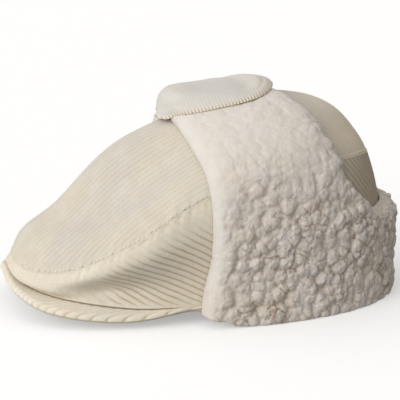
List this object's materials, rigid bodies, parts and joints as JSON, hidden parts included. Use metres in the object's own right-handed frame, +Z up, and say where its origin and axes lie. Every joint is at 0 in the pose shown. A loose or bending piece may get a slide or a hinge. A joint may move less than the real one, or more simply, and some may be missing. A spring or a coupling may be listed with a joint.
{
  "type": "duckbill cap",
  "caption": "Winter duckbill cap in wide-wale corduroy with a short stiff bill and fleece ear flaps folded up over the crown and joined by a tab on top.",
  "frame": {"origin": "middle of the cap's length and width, on the surface it lies on", "axes": "+Z up, -Y towards the bill, +X towards the wearer's left"},
  "size_m": [0.203, 0.2763, 0.1483],
  "materials": {
    "corduroy": "cream wide-wale cotton corduroy, matte with a soft pile",
    "fleece": "off-white curly fleece, matte"
  },
  "bodies": {
    "root": {"top_panel": "corduroy", "side_panel_left": "corduroy", "side_panel_right": "corduroy", "bill": "corduroy", "ear_flap_left": "fleece", "ear_flap_right": "fleece", "closing_tab": "corduroy"}
  },
  "joints": []
}
